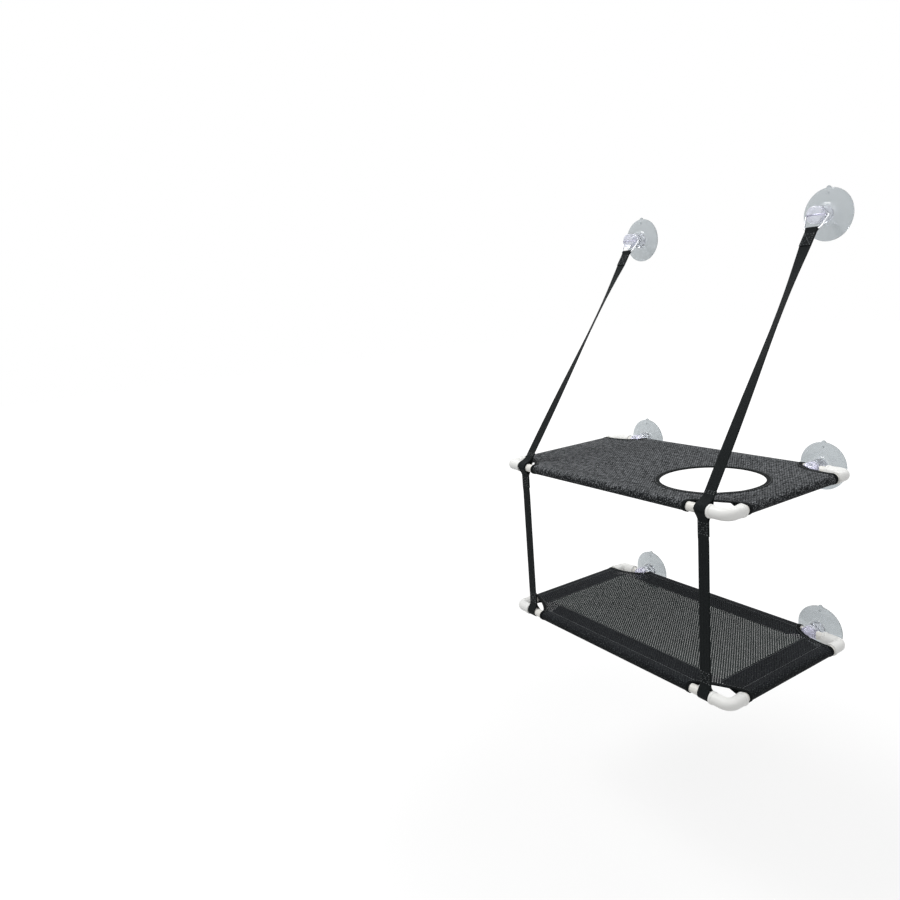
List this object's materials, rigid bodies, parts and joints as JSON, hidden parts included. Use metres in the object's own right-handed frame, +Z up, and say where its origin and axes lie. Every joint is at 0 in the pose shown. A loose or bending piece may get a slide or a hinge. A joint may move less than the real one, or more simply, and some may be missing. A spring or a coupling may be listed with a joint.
{
  "type": "window mounted cat perch",
  "caption": "Window-mounted cat perch: mesh decks on tube frames, one above the other, hung by webbing from suction cups, with a round climbing hole in the upper deck.",
  "frame": {"origin": "on the window pane's plane, midway between the columns of suction cups, level with the axes of the lower deck's rails", "axes": "+Y points out of the room at the glass, +Z up, +X to the right as seen from the room"},
  "size_m": [0.573, 0.3655, 0.8662],
  "materials": {
    "clear_pvc": "gloss",
    "steel_wire": "satin",
    "webbing": "matte",
    "tube_plastic": "satin",
    "elbow_plastic": "satin",
    "mesh": "matte",
    "binding_tape": "matte"
  },
  "bodies": {
    "glass_side": {"cup_top_left": "clear_pvc", "cup_top_right": "clear_pvc", "cup_upper_left": "clear_pvc", "cup_upper_right": "clear_pvc", "cup_lower_left": "clear_pvc", "cup_lower_right": "clear_pvc", "slant_strap_left": "webbing", "slant_strap_right": "webbing"},
    "bail_left": {"bail_left": "steel_wire"},
    "bail_right": {"bail_right": "steel_wire"},
    "upper_deck": {"upper_front_rail": "tube_plastic", "upper_window_rail": "tube_plastic", "upper_left_rail": "tube_plastic", "upper_right_rail": "tube_plastic", "upper_elbow_front_left": "elbow_plastic", "upper_elbow_front_right": "elbow_plastic", "upper_elbow_window_left": "elbow_plastic", "upper_elbow_window_right": "elbow_plastic", "upper_cover": "mesh", "upper_hole_binding": "binding_tape", "upper_binding_front_left": "binding_tape", "upper_binding_front_right": "binding_tape", "upper_binding_window_left": "binding_tape", "upper_binding_window_right": "binding_tape"},
    "lower_deck": {"lower_front_rail": "tube_plastic", "lower_window_rail": "tube_plastic", "lower_left_rail": "tube_plastic", "lower_right_rail": "tube_plastic", "lower_elbow_front_left": "elbow_plastic", "lower_elbow_front_right": "elbow_plastic", "lower_elbow_window_left": "elbow_plastic", "lower_elbow_window_right": "elbow_plastic", "lower_cover": "mesh", "lower_binding_front_left": "binding_tape", "lower_binding_front_right": "binding_tape", "lower_binding_window_left": "binding_tape", "lower_binding_window_right": "binding_tape"},
    "drop_left": {"drop_strap_left": "webbing"},
    "drop_right": {"drop_strap_right": "webbing"}
  },
  "joints": [
    {"name": "upper_fold", "type": "hinge", "parent": "glass_side", "child": "upper_deck", "pos_m": [0, -0.032, 0.325], "axis": [-1, 0, 0], "range_deg": [0, 80], "deforming": ["slant_strap_left", "slant_strap_right"]},
    {"name": "lower_fold", "type": "hinge", "parent": "glass_side", "child": "lower_deck", "pos_m": [0, -0.032, 0], "axis": [-1, 0, 0], "range_deg": [0, 80]},
    {"name": "drop_left_hang", "type": "hinge", "parent": "upper_deck", "child": "drop_left", "pos_m": [-0.228, -0.354, 0.325], "axis": [-1, 0, 0], "range_deg": [-80, 0]},
    {"name": "drop_right_hang", "type": "hinge", "parent": "upper_deck", "child": "drop_right", "pos_m": [0.228, -0.354, 0.325], "axis": [-1, 0, 0], "range_deg": [-80, 0]},
    {"name": "bail_left_swing", "type": "hinge", "parent": "glass_side", "child": "bail_left", "pos_m": [-0.214, -0.032, 0.773], "axis": [1, 0, 0], "range_deg": [0, 35]},
    {"name": "bail_right_swing", "type": "hinge", "parent": "glass_side", "child": "bail_right", "pos_m": [0.214, -0.032, 0.773], "axis": [1, 0, 0], "range_deg": [0, 35]}
  ],
  "couplings": [
    {"joint": "lower_fold", "follows": "upper_fold", "ratio": 1},
    {"joint": "drop_left_hang", "follows": "upper_fold", "ratio": -1},
    {"joint": "drop_right_hang", "follows": "upper_fold", "ratio": -1},
    {"joint": "bail_left_swing", "follows": "upper_fold", "ratio": 0.4375},
    {"joint": "bail_right_swing", "follows": "upper_fold", "ratio": 0.4375}
  ]
}
